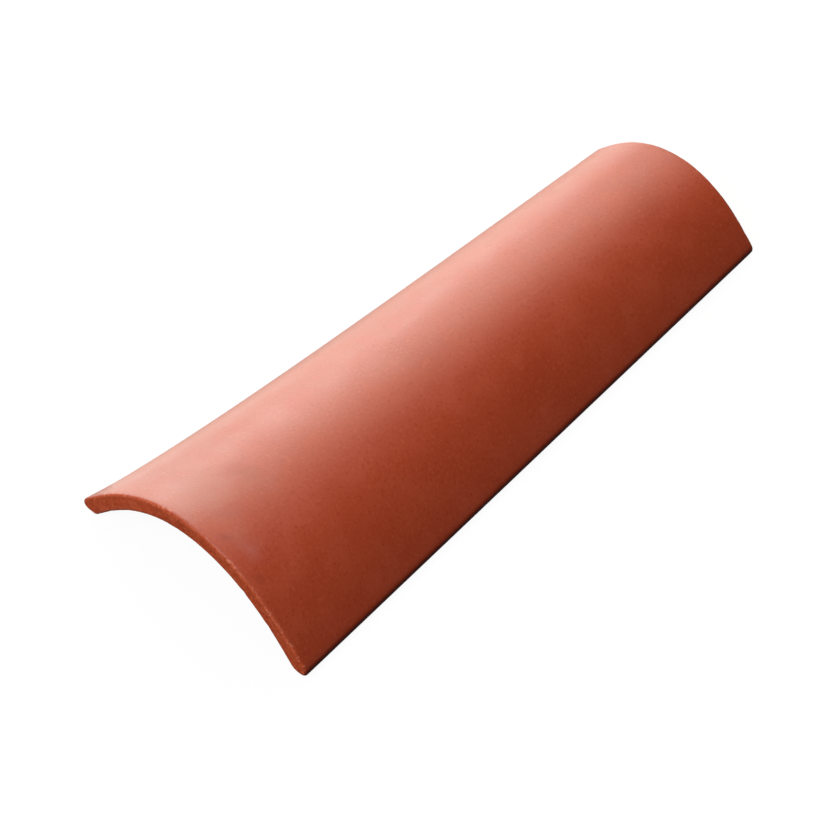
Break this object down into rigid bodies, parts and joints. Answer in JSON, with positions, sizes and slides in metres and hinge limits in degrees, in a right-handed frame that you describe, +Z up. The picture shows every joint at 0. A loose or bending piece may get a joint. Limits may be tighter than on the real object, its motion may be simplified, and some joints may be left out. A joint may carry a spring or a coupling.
{
  "type": "barrel roof tile",
  "caption": "Tapered, arched roof tile of unglazed fired clay with an open underside. It lies on its long edges and laps over the next tile of its course.",
  "frame": {"origin": "centre of the tile's base, on the surface its two long edges rest on", "axes": "+Z up through the crown of the arch, +Y along the tile from the wide end to the narrow end, +X across it to the straight long edge"},
  "size_m": [0.185, 0.45, 0.0605],
  "materials": {
    "fired_clay": "matte, unglazed"
  },
  "bodies": {
    "root": {"barrel_tile": "fired_clay"}
  },
  "joints": []
}
